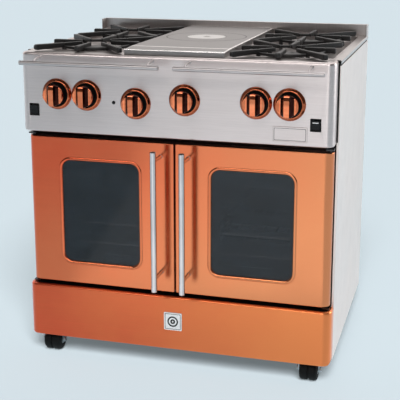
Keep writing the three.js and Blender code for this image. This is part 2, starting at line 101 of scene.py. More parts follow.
def upright_rects(box, y, radius, steps, stations):
    """Loops of a rounded rectangle that stands in a box, one for each (inset, y offset)."""
    return [[(u, y + dy, v) for u, v in rounded_rect(box.x0 + inset, box.x1 - inset, box.z0 + inset,
                                                     box.z1 - inset, radius, steps)]
            for inset, dy in stations]


def quarter(steps):
    """(1 - sin, 1 - cos) over a quarter turn, for a rounded edge."""
    turns = [pi / 2 * i / steps for i in range(steps + 1)]
    return [(1 - sin(t), 1 - cos(t)) for t in turns]


def facing(x, z, y):
    """Puts (u, v, height) points on an upright face, with the height towards the front."""
    return lambda u, v, h: (x + u, y - h, z + v)


class Shape:
    """Vertices and faces of one piece, gathered from lofts and plates."""

    def __init__(self):
        self.verts = []
        self.faces = []

    def loft(self, loops, closed=True, caps=(False, False), skip=()):
        """Quads between loops of equal length; caps fill the first and the last loop."""
        count, base = len(loops[0]), len(self.verts)
        for loop in loops:
            self.verts += [Vector(p) for p in loop]
        for k in range(len(loops) - 1):
            for i in range(count if closed else count - 1):
                if (k, i) in skip:
                    continue
                a, b = base + k * count + i, base + k * count + (i + 1) % count
                self.faces.append((a, b, b + count, a + count))
        if caps[0]:
            self.faces.append(tuple(range(base + count - 1, base - 1, -1)))
        if caps[1]:
            top = base + (len(loops) - 1) * count
            self.faces.append(tuple(range(top, top + count)))
        return self

    def plate(self, outline, holes, place):
        """A flat sheet with holes; place puts a (u, v) point in space, seen with u right, v up."""
        points = [point for loop in (outline, *holes) for point in loop]
        base = len(self.verts)
        self.verts += [Vector(place(u, v)) for u, v in points]
        flat = [[Vector((u, v, 0)) for u, v in loop] for loop in (outline, *holes)]
        for a, b, c in tessellate_polygon(flat):
            (ua, va), (ub, vb), (uc, vc) = points[a], points[b], points[c]
            area = (ub - ua) * (vc - va) - (uc - ua) * (vb - va)
            if abs(area) > 1e-9:
                self.faces.append(tuple(base + i for i in ((a, b, c) if area > 0 else (a, c, b))))
        return self

    def revolve(self, profile, place, steps):
        """A (radius, height) profile turned about an axis; place puts (u, v, height) in space."""
        rings = [[place(r * cos(a), r * sin(a), h) for r, h in profile]
                 for a in (2 * pi * i / steps for i in range(steps))]
        return self.loft(rings + rings[:1], closed=False)

    def tube(self, path, radius, steps, ends=0.12):
        """A round bar along a path, with its end edges slightly rounded."""
        path = [Vector(p) for p in path]
        radii = [radius] * len(path)
        chamfer = radius * ends
        first = (path[1] - path[0]).normalized()
        last = (path[-1] - path[-2]).normalized()
        path = [path[0], path[0] + first * chamfer, *path[1:-1], path[-1] - last * chamfer, path[-1]]
        radii = [radius - chamfer, radius, *radii[1:-1], radius, radius - chamfer]
        side = first.orthogonal().normalized()
        loops = []
        for i, point in enumerate(path):
            ahead = (path[min(i + 1, len(path) - 1)] - path[max(i - 1, 0)]).normalized()
            side = (side - ahead * side.dot(ahead)).normalized()
            up = ahead.cross(side)
            loops.append([point + (side * cos(t) + up * sin(t)) * radii[i]
                          for t in (2 * pi * k / steps for k in range(steps))])
        return self.loft(loops, caps=(True, True))

    def block(self, x0, x1, y0, y1, z0, z1, edge):
        """A box whose long edges along Z are round and whose ends are chamfered."""
        loops = []
        for z, inset in ((z0, edge), (z0 + edge * 0.3, edge * 0.3), (z0 + edge, 0),
                         (z1 - edge, 0), (z1 - edge * 0.3, edge * 0.3), (z1, edge)):
            loop = rounded_rect(x0 + inset, x1 - inset, y0 + inset, y1 - inset, edge, 3)
            loops.append([(x, y, z) for x, y in loop])
        return self.loft(loops, caps=(True, True))


def linked(name, data):
    """A new object in the scene."""
    made = bpy.data.objects.new(name, data)
    bpy.context.scene.collection.objects.link(made)
    return made


def finish_object(name, mesh, material, node, replace, smooth):
    """An object of one material that rides with its node's body; smooth is an angle in degrees."""
    mesh.materials.append(material)
    mesh.shade_smooth()
    mesh.set_sharp_from_angle(angle=radians(smooth))
    made = linked(name, mesh)
    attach(made, BODY[node])
    if replace:
        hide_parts(node)
    return made


def piece(name, shape, material, node, replace=True, smooth=40, closed=True, thickness=0):
    """One object from a shape. It rides with the CAD node that it replaces or belongs to.

    A closed shape gets its faces turned outwards. A thickness makes an open one a sheet.
    """
    mesh = bpy.data.meshes.new(name)
    mesh.from_pydata([v * MM for v in shape.verts], [], shape.faces)
    bm = bmesh.new()
    bm.from_mesh(mesh)
    bmesh.ops.remove_doubles(bm, verts=bm.verts, dist=1e-6)
    bmesh.ops.dissolve_degenerate(bm, edges=bm.edges, dist=1e-7)
    if closed:
        bmesh.ops.recalc_face_normals(bm, faces=bm.faces)
    bm.to_mesh(mesh)
    bm.free()
    made = finish_object(name, mesh, material, node, replace, smooth)
    if thickness:
        skin = made.modifiers.new("sheet", "SOLIDIFY")
        skin.thickness = thickness * MM
        skin.offset = -1
    made.modifiers.new("even_flats", "WEIGHTED_NORMAL").keep_sharp = True


def eased(node, material, edge, smooth=40, name=None):
    """A CAD node's own form with its edges eased, as a new piece that replaces it."""
    name = name or node + "_eased"
    bm = bmesh.new()
    bm.from_mesh(frame["nodes"][node].data)
    bmesh.ops.remove_doubles(bm, verts=bm.verts, dist=1e-5)
    bmesh.ops.dissolve_degenerate(bm, edges=bm.edges, dist=1e-6)
    bmesh.ops.dissolve_limit(bm, angle_limit=radians(0.5), verts=bm.verts, edges=bm.edges)
    mesh = bpy.data.meshes.new(name)
    bm.to_mesh(mesh)
    bm.free()
    made = finish_object(name, mesh, material, node, True, smooth)
    bevel = made.modifiers.new("eased_edges", "BEVEL")
    bevel.width = edge * MM
    bevel.segments = 2
    bevel.limit_method = "ANGLE"
    bevel.angle_limit = radians(smooth)
    made.modifiers.new("even_flats", "WEIGHTED_NORMAL").keep_sharp = True

# Materials


def colour(code):
    """A linear colour from an sRGB hex code."""
    parts = [int(code[i:i + 2], 16) / 255 for i in (0, 2, 4)]
    linear = [c / 12.92 if c <= 0.04045 else ((c + 0.055) / 1.055) ** 2.4 for c in parts]
    return (*linear, 1)


class Tree:
    """A node tree with short calls to add and fill nodes."""

    def __init__(self, owner):
        owner.use_nodes = True
        self.tree = owner.node_tree

    def feed(self, socket, value):
        """Link a socket's value, or set a plain one."""
        if isinstance(value, bpy.types.NodeSocket):
            self.tree.links.new(value, socket)
        else:
            socket.default_value = value

    def fill(self, node, **sockets):
        """Feed a node's sockets by name; _ stands for a space."""
        for name, value in sockets.items():
            self.feed(node.inputs[name.replace("_", " ")], value)

    def add(self, kind, **sockets):
        node = self.tree.nodes.new("ShaderNode" + kind)
        self.fill(node, **sockets)
        return node


class Nodes(Tree):
    """A material's node tree, with the patterns that this scene uses."""

    def __init__(self, name, base, rough, metal=0.0, **sockets):
        self.material = bpy.data.materials.new(name)
        super().__init__(self.material)
        self.shader = self.tree.nodes["Principled BSDF"]
        self.fill(self.shader, Base_Color=base, Roughness=rough, Metallic=metal, **sockets)
        self.material.diffuse_color = base
        self.place = self.add("TexCoord").outputs["Object"]

    def noise(self, scale, detail, roughness=0.55, stretch=(1, 1, 1)):
        mapping = self.add("Mapping", Vector=self.place, Scale=stretch)
        texture = self.add("TexNoise", Vector=mapping.outputs["Vector"], Scale=scale, Detail=detail,
                           Roughness=roughness)
        return texture.outputs["Fac"]

    def cells(self, scale):
        return self.add("TexVoronoi", Vector=self.place, Scale=scale).outputs["Distance"]

    def ranged(self, value, low, high, from_low=0.3, from_high=0.7):
        """A value that runs from from_low to from_high, brought to low and high."""
        node = self.add("MapRange", Value=value, From_Min=from_low, From_Max=from_high, To_Min=low,
                        To_Max=high)
        return node.outputs["Result"]

    def mixed(self, factor, first, second):
        """A colour mix; first and second are colours or sockets."""
        node = self.add("Mix")
        node.data_type = "RGBA"
        self.fill(node, Factor=factor, A=first, B=second)
        return node.outputs["Result"]

    def sum(self, first, second, share=1.0):
        """First plus share times second."""
        node = self.add("Math")
        node.operation = "MULTIPLY_ADD"
        for socket, value in zip(node.inputs, (second, share, first)):
            self.feed(socket, value)
        return node.outputs["Value"]

    def bump(self, height, strength, distance):
        node = self.add("Bump", Strength=strength, Distance=distance, Height=height)
        self.fill(self.shader, Normal=node.outputs["Normal"])

    def stretch_across(self, direction, amount):
        """Anisotropic gloss that spreads along a direction, across the brushing."""
        x, y, z = direction
        tangent = self.add("CombineXYZ", X=x, Y=y, Z=z).outputs["Vector"]
        self.fill(self.shader, Anisotropic=amount, Tangent=tangent)

    def along(self, axis, low, high):
        """0 to 1 between two places along an axis, in metres."""
        node = self.add("SeparateXYZ", Vector=self.place)
        return self.ranged(node.outputs[axis], 0, 1, low, high)

    def finish(self, tint, rough):
        """Give the shader its colour and roughness."""
        self.fill(self.shader, Base_Color=tint, Roughness=rough)
        return self.material


def brushed(name, base, shade, rough, stretch, patina=0.25, across=(0, 0, 1), lit_tint=None,
            low=0.0, **sockets):
    """Brushed metal: fine streaks along the brushing and soft patches of patina.

    A tint for the light, when given, is painted light: the colour shifts to it towards the right,
    and with low towards the bottom as well, as where a brighter light falls, broken up by the patches.
    """
    made = Nodes(name, base, rough, metal=1.0, **sockets)
    made.stretch_across(across, 0.75)
    fine = made.noise(900, 4, 0.7, stretch)
    broad = made.noise(150, 3, 0.6, stretch)
    patches = made.noise(5, 4, 0.55)
    streaks = made.sum(fine, broad, 0.25)
    tone = made.sum(made.ranged(streaks, 0.0, 1.0, 0.4, 0.85), patches, patina)
    tint = made.mixed(tone, shade, base)
    # Painted light: the tint shifts towards the light's colour on the right and, by low, at the bottom.
    if lit_tint:
        turned = made.sum(made.along("X", -0.35, 0.8), patches, 0.45)
        tint = made.mixed(made.sum(turned, made.along("Z", 0.62, 0.2), low), tint, lit_tint)
    made.bump(streaks, 0.1, 0.0001)
    wear = made.ranged(patches, rough - 0.04, rough + 0.05)
    return made.finish(tint, made.sum(wear, streaks, 0.03))


def polished(name, base, shade, rough):
    """Polished metal with faint wipe marks and pits."""
    made = Nodes(name, base, rough, metal=1.0)
    wipe = made.noise(40, 4, 0.6, (1, 1, 3))
    made.bump(made.noise(600, 2), 0.03, 0.0001)
    tint = made.mixed(made.ranged(wipe, 0.0, 1.0), shade, base)
    return made.finish(tint, made.ranged(wipe, rough * 0.8, rough * 1.7))


def satin(name, base, shade, rough):
    """Metal ground smooth: long faint streaks and no grain."""
    made = Nodes(name, base, rough, metal=1.0)
    streaks = made.noise(60, 4, 0.6, (0.2, 1, 0.2))
    made.bump(made.noise(24, 2), 0.05, 0.0002)
    tint = made.mixed(made.ranged(streaks, 0.0, 1.0), shade, base)
    return made.finish(tint, made.ranged(streaks, rough * 0.85, rough * 1.3))


def cast_iron():
    """Matt black cast iron with a sandy skin and greyer patches of wear."""
    made = Nodes("cast_iron_matt", colour("141313"), 0.42, Specular_IOR_Level=0.5)
    grain = made.noise(700, 5, 0.7)
    soot = made.noise(26, 4, 0.6)
    made.bump(made.sum(grain, made.noise(180, 3)), 0.4, 0.0005)
    tint = made.mixed(made.ranged(soot, 0, 1), colour("0A0909"), colour("1A1717"))
    return made.finish(tint, made.sum(made.ranged(grain, 0.3, 0.46), soot, 0.1))


def ground_plate():
    """Ground steel plate: fine straight grinding, heat-toned patches."""
    made = Nodes("french_top_steel", colour("A5A2A1"), 0.42, metal=1.0)
    grind = made.noise(420, 4, 0.7, (0.05, 1, 1))
    patches = made.noise(6, 4, 0.6)
    tone = made.mixed(made.ranged(patches, 0, 1), colour("7E7978"), colour("908C8B"))
    made.bump(grind, 0.15, 0.0001)
    tint = made.mixed(made.ranged(grind, 0.0, 0.3), tone, colour("B9B6B4"))
    return made.finish(tint, made.sum(made.ranged(grind, 0.32, 0.42), patches, 0.08))


def enamel(name, base, fleck, rough=0.18):
    """Porcelain enamel with a few pale flecks and a slight orange peel."""
    made = Nodes(name, base, rough, Coat_Weight=0.3, Coat_Roughness=0.08)
    dots = made.ranged(made.cells(420), 1.0, 0.0, 0.05, 0.12)
    made.bump(made.noise(160, 2), 0.06, 0.0004)
    smears = made.ranged(made.noise(30, 3), rough * 0.8, rough * 1.5)
    return made.finish(made.mixed(dots, base, fleck), smears)


def window_glass():
    """Dark tinted oven glass that lets a little of the racks through."""
    made = Nodes("tinted_oven_glass", colour("232A31"), 0.06, Specular_IOR_Level=0.42, Alpha=0.6)
    haze = made.noise(14, 4, 0.6)
    tint = made.mixed(made.ranged(haze, 0, 1), colour("1D242A"), colour("29323A"))
    return made.finish(tint, made.ranged(haze, 0.05, 0.12))


def moulded(name, base, rough, grain=900, depth=0.2, shine=0.5):
    """Moulded plastic or rubber with a fine grain and dusty patches."""
    made = Nodes(name, base, rough, Specular_IOR_Level=shine)
    dust = made.noise(35, 4, 0.6)
    lighter = tuple(min(1.0, c * 1.8 + 0.001) for c in base[:3]) + (1,)
    made.bump(made.noise(grain, 2), depth, 0.0002)
    tint = made.mixed(made.ranged(dust, 0, 1), base, lighter)
    return made.finish(tint, made.ranged(dust, rough * 0.85, min(1, rough * 1.25)))


def plated(name, base, shade, rough):
    """Zinc plate or galvanizing: spangled crystals over a soft sheen."""
    made = Nodes(name, base, rough, metal=1.0)
    spangle = made.cells(130)
    made.bump(made.noise(120, 3), 0.05, 0.0002)
    tint = made.mixed(made.ranged(spangle, 0, 1, 0.1, 0.6), shade, base)
    return made.finish(tint, made.ranged(spangle, rough * 0.9, rough * 1.15, 0.1, 0.6))


# Scales of the noise along X, Y and Z. The streaks run along the axes with small scales.
ALONG_X = (0.012, 0.012, 1)
ALONG_Y = (1, 0.012, 0.012)
STEEL = brushed("brushed_stainless", colour("DFD4D2"), colour("D1C6C4"), 0.31, ALONG_X)
# Brushed along the depth; its darker tone than the front's stainless is painted shade, for the shaded
# wells and the back guard.
SHADED_TOP_STEEL = brushed("brushed_cooktop_shaded", colour("C6BFBD"), colour("B2ABA9"), 0.3, ALONG_Y,
                    across=(1, 0, 0))
# Brushed along the depth and rougher; its lighter tone than the front's stainless is painted light on
# the side that faces the right-hand light.
LIT_SIDE_STEEL = brushed("brushed_side_lit", colour("F4EBE7"), colour("EAE1DD"), 0.42, ALONG_Y, 0.05)
# Both coppers carry painted light towards the right and towards the bottom.
COPPER = brushed("brushed_copper", colour("DC5233"), colour("C24026"), 0.17, ALONG_X, 0.6,
                 lit_tint=colour("E28D5E"), low=0.32, Coat_Weight=0.2, Coat_Roughness=0.15)
KICK_COPPER = brushed("brushed_copper_kick", colour("D83830"), colour("C62E27"), 0.3, ALONG_X, 0.4,
                      lit_tint=colour("F99054"), low=0.15, Coat_Weight=0.25, Coat_Roughness=0.2)
BRIGHT_COPPER = polished("polished_copper_knob", colour("EE8E66"), colour("DC764E"), 0.07)
# A darker copy of the knobs' polished copper: painted shade for the bezel rings' dim reflections.
SHADED_RING_COPPER = polished("polished_copper_ring_shaded", colour("C4704E"), colour("AC5A3C"), 0.08)
# Painted shade: a near-black copy of the knobs' copper for the hollows beside their grips, standing in
# for dim reflections.
PAINTED_SHADE_COPPER = polished("copper_painted_shade", colour("42201A"), colour("2A1210"), 0.16)
BAR_STEEL = satin("satin_bar", colour("DAD4D4"), colour("C9C2C2"), 0.18)
# A darker copy of the handles' satin steel: painted shade for the rails' shaded undersides.
SHADED_RAIL_STEEL = satin("satin_rail_shaded", colour("BEB8B8"), colour("AEA8A8"), 0.33)
# Painted highlight: a near-white steel for the French top's rounded edges and its crest line.
HIGHLIGHT_STEEL = satin("painted_highlight_steel", colour("FBF8F6"), colour("DDDAD8"), 0.24)
LID_STEEL = polished("ground_lid_steel", colour("DEDBD9"), colour("D0CDCB"), 0.3)
IRON = cast_iron()
PLATE_STEEL = ground_plate()
ENAMEL = enamel("black_porcelain", colour("0D0D0F"), colour("6A6A70"))
WHITE = enamel("white_porcelain", colour("FFFFFF"), colour("ECECEA"), 0.25)
GLASS = window_glass()
PLASTIC = moulded("black_moulded_plastic", colour("08080A"), 0.4, shine=0.25)
SKIRT = moulded("black_knob_skirt", colour("060607"), 0.45, shine=0.12)
INK = moulded("white_pad_print", colour("D8D8D8"), 0.5)
RUBBER = moulded("black_tread", colour("070707"), 0.62, 500, 0.4, 0.2)
ZINC = plated("bright_zinc", colour("B9C0C4"), colour("8F979C"), 0.28)
GALVANIZED = plated("galvanized_sheet", colour("C9CBCC"), colour("B9BCBE"), 0.46)

# Body panels

panel = extent("control_panel")
top = extent("cooktop_frame")
kick = extent("kick_panel")
plate = extent("french_top_plate")
HALF = top.x1
FRONT = panel.y0
CORNER = 28
SHEET = 1.5
SEAM = 1.6
PANEL_HALF = HALF - 6
PANEL_CORNER = CORNER - 6
ROCKER_HOLE = SimpleNamespace(half=13, tall=15.8)
ROCKER_FRAME = SimpleNamespace(half=14.8, tall=17.6)


def corner(cx, cy, radius, start, steps):
    """(x, y, outward x, outward y) points of a quarter turn round a corner's centre."""
    return [(x, y, (x - cx) / radius, (y - cy) / radius)
            for x, y in arc(cx, cy, radius, start, start + 90, steps)]


def wrap_path(half, front, back, radius):
    """Corner points round a sheet's front, from the back of its left side to the right."""
    steps = 10
    left = corner(radius - half, front + radius, radius, 180, steps)
    right = corner(half - radius, front + radius, radius, 270, steps)
    return [(-half, back, -1, 0), *left, *right, (half, back, 1, 0)]


def wrapped(path, profile):
    """Loops of a profile of (inset, z) points carried round a path."""
    return [[(x - nx * inset, y - ny * inset, z) for x, y, nx, ny in path] for inset, z in profile]


def edge_profile(low, high, low_r, high_r, lip, shelf):
    """(inset, z) points of a sheet with a turned-in lip below and a shelf above."""
    bottom = [(low_r * s, low + low_r * c) for s, c in quarter(5)]
    upper = [(high_r * c, high - high_r * s) for s, c in quarter(6)]
    return [(lip, low), *bottom, *upper, (shelf, high)]


def control_panel():
    """The wrapped front sheet, which has an opening behind each rocker."""
    path = wrap_path(PANEL_HALF, FRONT, panel.y1 - SEAM, PANEL_CORNER)
    profile = edge_profile(panel.z0, top.z1, 5, 8, 20, 8.5)
    rows = wrapped(path, profile)
    row = 6
    column = next(i for i in range(len(path) - 1) if path[i + 1][0] - path[i][0] > HALF)
    low, high = profile[row][1], profile[row + 1][1]
    shape = Shape().loft(rows, closed=False, skip={(row, column)})
    outline = [(path[column][0], low), (path[column + 1][0], low),
               (path[column + 1][0], high), (path[column][0], high)]
    holes = []
    for node in ("oven_light_rocker", "oven_fan_rocker"):
        box = extent(node)
        x, z = box.mid.x, box.mid.z
        holes.append(rounded_rect(x - ROCKER_HOLE.half, x + ROCKER_HOLE.half,
                                  z - ROCKER_HOLE.tall, z + ROCKER_HOLE.tall, 1.5, 2))
    shape.plate(outline, holes, lambda x, z: (x, FRONT, z))
    piece("control_panel_shell", shape, STEEL, "control_panel", closed=False, thickness=SHEET)


def kick_panel():
    """The wrapped copper sheet, with its lower corners rounded off and its top folded back."""
    path = wrap_path(HALF, kick.y0, kick.y1, CORNER)
    profile = edge_profile(kick.z0, kick.z1, 4, 6, 14, 12)
    profile += [(12.8, kick.z1 - 0.8), (12.8, kick.z1 - 12)]
    shape = Shape().loft(wrapped(path, profile), closed=False)
    corner_r = 13
    for v in shape.verts:
        over = max(0.0, abs(v.x) - (HALF - corner_r))
        lift = corner_r - sqrt(max(0.0, corner_r ** 2 - min(over, corner_r) ** 2))
        v.z = max(v.z, kick.z0 + lift)
    piece("kick_panel_shell", shape, KICK_COPPER, "kick_panel", closed=False, thickness=SHEET)


WELL_FLOOR = extent("burner_1").z0 + 18
WELL = SimpleNamespace(inner=150, outer=430, front=FRONT + 80, back=FRONT + 668, radius=20)
HOLE = SimpleNamespace(half=126, front=FRONT + 95, back=FRONT + 650)


def cooktop():
    """The top sheet, its two wells with rolled rims, and the side flanges."""
    z, inset, roll, flange = top.z1, 8.8, 4, 10.5
    side_front = panel.y1 + SEAM
    front_arc = arc(-PANEL_HALF + PANEL_CORNER, FRONT + PANEL_CORNER, PANEL_CORNER - inset,
                    180, 270, 8)
    left = [(-HALF + roll, top.y1), (-HALF + roll, side_front), (-PANEL_HALF + inset, side_front)]
    right = [(-x, y) for x, y in reversed(left + front_arc)]
    outline = left + front_arc + right
    holes = [rounded_rect(-HOLE.half, HOLE.half, HOLE.front, HOLE.back, 6, 3)]
    rim = 3
    shape = Shape()

    def well_loop(side, grow, height):
        x0, x1 = sorted((side * WELL.inner, side * WELL.outer))
        loop = rounded_rect(x0 - grow, x1 + grow, WELL.front - grow, WELL.back + grow,
                            WELL.radius + grow, 8)
        return loop, [(x, y, height) for x, y in loop]

    fillet = 6
    steps = [(rim * s, z - rim * c) for s, c in quarter(4)]
    steps += [(-fillet * c, WELL_FLOOR + fillet * s) for s, c in quarter(4)]
    for _, side in SIDES:
        holes.append(well_loop(side, rim, z)[0])
        loops = [well_loop(side, grow, height)[1] for grow, height in steps]
        shape.loft([list(reversed(loop)) for loop in loops], caps=(False, True))
    shape.plate(outline, holes, lambda x, y: (x, y, z))
    for _, side in SIDES:
        section = [(side * (HALF - roll * s), z - roll * c) for s, c in quarter(5)]
        section += [(side * HALF, z - flange)]
        loops = [[(x, y, height) for x, height in section] for y in (side_front, top.y1)]
        shape.loft(loops if side > 0 else list(reversed(loops)), closed=False)
    piece("cooktop_shell", shape, SHADED_TOP_STEEL, "cooktop_frame", closed=False, thickness=1.2)


def shade_strips():
    """Black strips behind the joints of the cooktop, the side sheets and the wrapped panels: painted
    shade where the joints would show deep shadow.
    """
    shape = Shape()
    for _, side in SIDES:
        x0, x1 = sorted((side * (HALF - 3), side * (HALF - 6)))
        shape.block(x0, x1, panel.y1 - 6, top.y1 - 4, top.z1 - 22, top.z1 - 6, 0.5)
        x0, x1 = sorted((side * (HALF - 7.5), side * (HALF - 3)))
        shape.block(x0, x1, panel.y1 - 5, panel.y1 - 0.4, panel.z0 + 4, top.z1 - 3, 0.5)
    shape.block(-HALF + 15, HALF - 15, kick.y0 + 14, kick.y1 - 1, kick.z1 - 6, kick.z1 - 3, 0.5)
    piece("joint_painted_shade", shape, RUBBER, "cooktop_frame", replace=False)


control_panel()
kick_panel()
cooktop()
shade_strips()
for side_name, _ in SIDES:
    eased(side_name + "_side_panel", LIT_SIDE_STEEL, 0.8)
eased("back_guard", SHADED_TOP_STEEL, 0.7, 60)
eased("base_frame", GALVANIZED, 0.8)
eased("gas_manifold", GALVANIZED, 0.4, 50)
eased("oven_burner", GALVANIZED, 0.3, 50)
eased("oven_box", ENAMEL, 0.6)

# Doors


WINDOW_RADIUS = 26


def door(side_name, side):
    """The door's copper skin with a raised bead round the window, its liner, glass and handle."""
    skin = extent(side_name + "_door_skin")
    glass = extent(side_name + "_door_glass")
    inner, outer = (skin.x0, skin.x1) if side > 0 else (-skin.x1, -skin.x0)
    front, back = skin.y0, skin.y1
    low, high = door_low, door_high
    edge, small, bead = 25, 3, 9
    path = [(inner, back, -1, 0), *corner(inner + small, front + small, small, 180, 4),
            *corner(outer - edge, front + edge, edge, 270, 12), (outer, back, 1, 0)]
    ease = 2
    below = [(ease * s, low + ease * c) for s, c in quarter(3)]
    profile = below + [(ease * c, high - ease * s) for s, c in quarter(3)]
    rows = [[(x - nx * inset, y - (ny * inset if y < back else 0), z) for x, y, nx, ny in path]
            for inset, z in profile]
    row, column = 3, 5
    shape = Shape().loft(rows, closed=False, caps=(True, True), skip={(row, column)})
    x0, x1 = path[column][0], path[column + 1][0]
    margin = 9
    wx0, wx1 = sorted((side * (glass.x0 + margin), side * (glass.x1 - margin)))
    wz0, wz1 = glass.z0 + margin, glass.z1 - margin

    def window(grow, y):
        loop = rounded_rect(wx0 - grow, wx1 + grow, wz0 - grow, wz1 + grow, WINDOW_RADIUS + grow, 8)
        return loop, [(x, y, z) for x, z in loop]

    bead_steps = [(bead, 0), (bead - 0.8, -0.5), (bead - 2.4, -1.5), (bead - 4.4, -1.8),
                  (bead - 6.2, -1.2), (bead - 7.6, 0.2), (bead - 8.6, 1.6), (0, 3), (0, 5)]
    shape.plate([(x0, low + ease), (x1, low + ease), (x1, high - ease), (x0, high - ease)],
                [window(bead, 0)[0]], lambda x, z: (x, front, z))
    shape.loft([list(reversed(window(grow, front + dy)[1])) for grow, dy in bead_steps])
    for v in shape.verts:
        v.x *= side
    if side < 0:
        shape.faces = [tuple(reversed(f)) for f in shape.faces]
    piece(side_name + "_door_copper", shape, COPPER, side_name + "_door_skin", closed=False,
          thickness=1.0, smooth=50)
    eased(side_name + "_door_liner", ENAMEL, 1.0)
    pane = Shape().loft([[(side * x, y, z) for x, y, z in window(grow, depth)[1]]
                         for grow, depth in ((7, glass.y0), (8, glass.y0 + 0.6), (8, glass.y1))],
                        caps=(True, True))
    piece(side_name + "_window_glass", pane, GLASS, side_name + "_door_glass")
    door_handle(side_name, front)
    pins(side_name, side, low, high)


def door_handle(side_name, front):
    """A straight bar on two posts with round feet."""
    box = extent(side_name + "_door_handle")
    radius = box.size.x / 2
    y = box.y0 + radius
    x = box.mid.x
    shape = Shape().tube([(x, y, box.z0), (x, y, box.mid.z), (x, y, box.z1)], radius, 32, 0.18)
    for z in (box.z0 + 37, box.z1 - 28):
        profile = [(0, 0.2), (6.6, 0.2), (6.6, 0.6), (5.8, 1.4), (5.4, 2.6),
                   (5.4, front - y - 9), (6.2, front - y - 5), (6.2, front - y)]
        shape.revolve(profile, facing(x, z, front), 24)
    piece(side_name + "_handle_bar", shape, BAR_STEEL, side_name + "_door_handle")


def pins(side_name, side, low, high):
    """The hinge pins over and under the door."""
    skin = extent(side_name + "_door_skin")
    x = side * (max(abs(skin.x0), abs(skin.x1)) - 11)
    y = skin.y0 + 18
    shape = Shape()
    for z0, z1 in ((skin.z0, low + 2), (high - 2, skin.z1)):
        shape.tube([(x, y, z0), (x, y, (z0 + z1) / 2), (x, y, z1)], 4, 20)
    piece(side_name + "_hinge_pins", shape, IRON, side_name + "_door_skin", replace=False)


liner = extent("left_door_liner")
door_low, door_high = liner.z0, liner.z1
for side_name, side in SIDES:
    door(side_name, side)

# French top and burners


def french_top():
    """The plate with a sloping front, a scribed ring and the hole of its lift-out centre, with painted
    highlights on its edges.
    """
    lid = extent("french_top_lid")
    cx, cy = lid.mid.x, lid.mid.y
    z, low = plate.z1, plate.z0
    crest, drop = plate.y0 + 60, 2.5
    ring, steps = 122, 96
    radius = lid.size.x / 2 + 0.6
    ease = 2.8
    shape = Shape()

    def disc(r, height):
        return [(x, y, height) for x, y in reversed(circle(cx, cy, r, steps))]

    shape.loft([disc(ring + 1.9, z), disc(ring + 1.3, z - 0.9), disc(ring - 1.3, z - 0.9),
                disc(ring - 1.9, z), disc(radius + 0.9, z), disc(radius, z - 0.9),
                disc(radius, z - 8), disc(radius - 8, z - 8), disc(radius - 8, low)])
    x0, x1 = plate.x0 + ease, plate.x1 - ease
    back = plate.y1 - ease
    shape.plate([(x0, crest), (x1, crest), (x1, back), (x0, back)],
                [circle(cx, cy, ring + 1.9, steps)], lambda x, y: (x, y, z))

    def height(y):
        return z - drop * max(0.0, crest - y) / (crest - plate.y0)

    loops = []
    for inset, fall in [(ease * s, -ease * c) for s, c in quarter(4)] + [(0.0, None)]:
        left, right = plate.x0 + inset, plate.x1 - inset
        rear, near = plate.y1 - inset, plate.y0 + inset
        around = [(left, rear), (left, crest), (left, near),
                  (right, near), (right, crest), (right, rear)]
        loops.append([(x, y, low if fall is None else height(y) + fall) for x, y in around])
    shape.loft([list(reversed(loop)) for loop in reversed(loops[-2:])])
    # The plate's rounded edges take the near-white steel: painted highlights.
    highlight_strips = Shape().loft([list(reversed(loop)) for loop in reversed(loops[:-1])])
    front = plate.y0 + ease
    shape.plate([(x0, front), (x1, front), (x1, crest), (x0, crest)], [],
                lambda x, y: (x, y, height(y)))
    piece("french_top_slab", shape, PLATE_STEEL, "french_top_plate", closed=False, smooth=30)
    # Black strips inside the scribed ring and round the centre disc: painted shade in the grooves.
    groove_shade = Shape()
    for r, half in ((ring, 1.7), (radius - 0.3, 0.6)):
        strip = [(r + half, z - 0.7), (r + half, z - 0.25),
                 (r - half, z - 0.25), (r - half, z - 0.7)]
        groove_shade.revolve(strip, lambda u, v, h: (cx + u, cy + v, h), steps)
    piece("french_top_groove_shade", groove_shade, IRON, "french_top_plate", replace=False, closed=False)

    # A thin near-white strip along the crest: a painted highlight on the break.
    line = [(crest - 7, -0.2), (crest - 1, 0.06), (crest + 2, 0.06)]
    rows = [[(x, y, z + lift) for y, lift in line] for x in (plate.x0 + 3, plate.x1 - 3)]
    highlight_strips.loft(list(reversed(rows)), closed=False)
    piece("french_top_painted_highlights", highlight_strips, HIGHLIGHT_STEEL, "french_top_plate", replace=False, closed=False)

    cap = Shape()
    r = lid.size.x / 2
    slots = [rounded_rect(cx - 11, cx + 11, cy + dy - 3, cy + dy + 3, 2.9, 5) for dy in (-6, 6)]
    cap.plate(circle(cx, cy, r - 0.8, steps), slots, lambda x, y: (x, y, lid.z1))
    cap.loft([[(x, y, h) for x, y in circle(cx, cy, rr, steps)]
              for rr, h in ((0.1, lid.z0), (r, lid.z0), (r, lid.z1 - 0.8), (r - 0.8, lid.z1))])
    for slot in slots:
        cap.loft([[(x, y, h) for x, y in reversed(slot)] for h in (lid.z1, lid.z0 + 1.5)],
                 caps=(False, True))
    piece("french_top_centre_disc", cap, LID_STEEL, "french_top_lid", closed=False, smooth=30)


